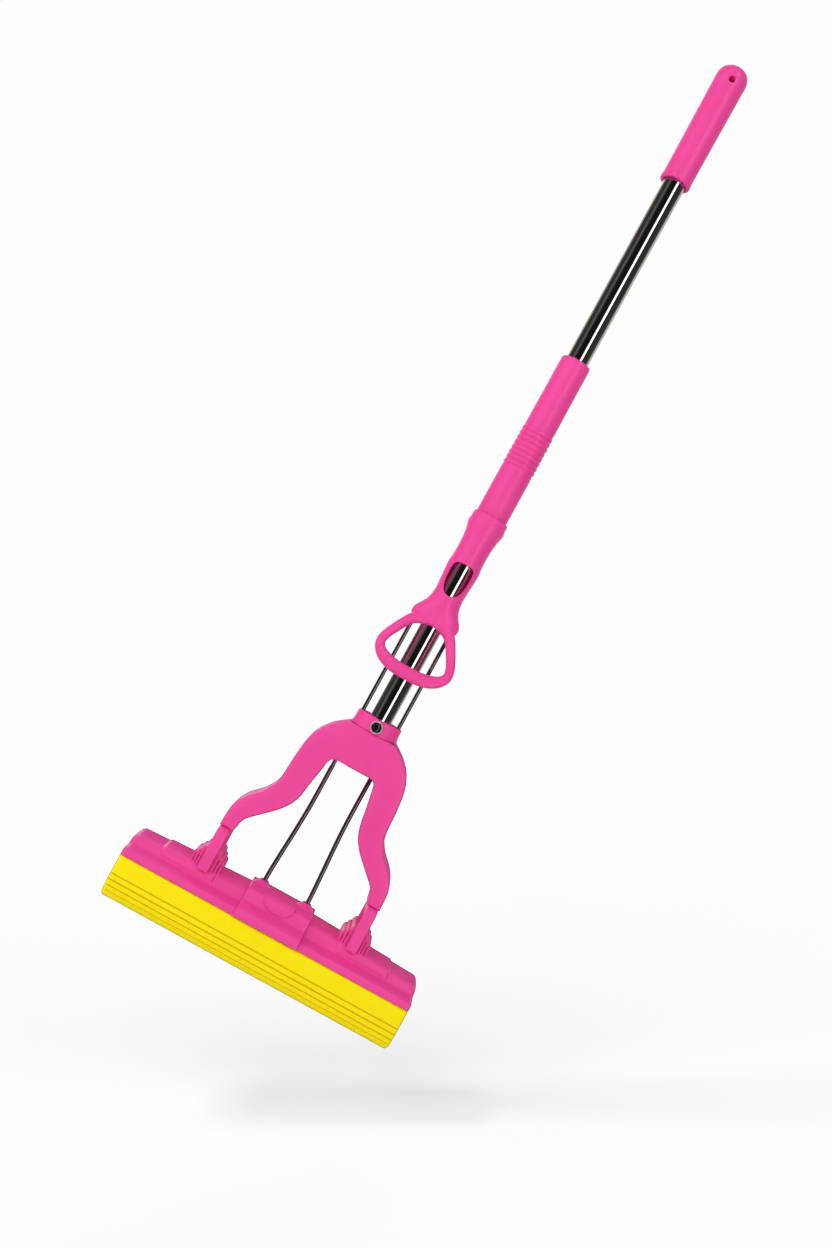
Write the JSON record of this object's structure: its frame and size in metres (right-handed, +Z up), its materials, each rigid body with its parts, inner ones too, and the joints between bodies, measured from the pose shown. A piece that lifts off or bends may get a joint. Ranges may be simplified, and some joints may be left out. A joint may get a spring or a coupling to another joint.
{
  "type": "flat mop",
  "caption": "Sponge squeeze flat mop: steel pole, sliding pull handle with two lift rods, arched yoke, and a long sponge head whose wings fold down to wring it.",
  "frame": {"origin": "centre of the sponge's flat underside, below the pole", "axes": "+Z up along the pole, X along the head, -Y towards the front, where the hub bolt's head is"},
  "size_m": [0.34, 0.095, 1.094],
  "materials": {
    "pink_shell": "hot pink moulded plastic, semi-gloss",
    "sponge": "bright yellow fine-celled PVA sponge, matte, grooved",
    "pole": "polished stainless steel tube",
    "rod_wire": "bright drawn steel wire",
    "fastener": "zinc-plated steel",
    "black_screw": "glossy black domed head",
    "nylon": "natural nylon, satin"
  },
  "bodies": {
    "frame": {"pole_tube": "pole", "pole_foot_plug": "nylon", "top_grip": "pink_shell", "hub_socket": "pink_shell", "hub_washer": "fastener", "hub_bolt": "black_screw", "hub_nut": "fastener", "yoke_front_shell": "pink_shell", "yoke_rear_shell": "pink_shell", "yoke_screw_1": "fastener", "yoke_screw_2": "fastener", "yoke_screw_3": "fastener", "yoke_screw_4": "fastener", "leg_fork_left": "pink_shell", "leg_fork_right": "pink_shell", "leg_pin_left": "rod_wire", "leg_pin_right": "rod_wire"},
    "puller": {"pull_sleeve": "pink_shell", "sleeve_bush_lower": "nylon", "sleeve_bush_upper": "nylon", "pull_handle": "pink_shell", "rod_left": "rod_wire", "rod_right": "rod_wire", "rod_nut_left": "fastener", "rod_nut_right": "fastener", "centre_bridge": "pink_shell", "bridge_pin_left": "rod_wire", "bridge_pin_right": "rod_wire", "sponge_centre": "sponge"},
    "wing_left": {"wing_left": "pink_shell", "backing_left": "nylon", "backing_screw_left_1": "fastener", "backing_screw_left_2": "fastener", "sponge_left": "sponge"},
    "wing_right": {"wing_right": "pink_shell", "backing_right": "nylon", "backing_screw_right_1": "fastener", "backing_screw_right_2": "fastener", "sponge_right": "sponge"}
  },
  "joints": [
    {"name": "pull_slide", "type": "slide", "parent": "frame", "child": "puller", "axis": [0, 0, 1], "range_m": [0, 0.062], "deforming": ["sponge_centre"]},
    {"name": "wing_left_fold", "type": "hinge", "parent": "puller", "child": "wing_left", "pos_m": [-0.03, 0, 0.056], "axis": [0, -1, 0], "range_deg": [-0.5, 56.5]},
    {"name": "wing_right_fold", "type": "hinge", "parent": "puller", "child": "wing_right", "pos_m": [0.03, 0, 0.056], "axis": [0, 1, 0], "range_deg": [-0.5, 56.5]}
  ],
  "couplings": [
    {"joint": "wing_left_fold", "follows": "pull_slide", "rad_per_m": 15.764},
    {"joint": "wing_right_fold", "follows": "pull_slide", "rad_per_m": 15.764}
  ]
}
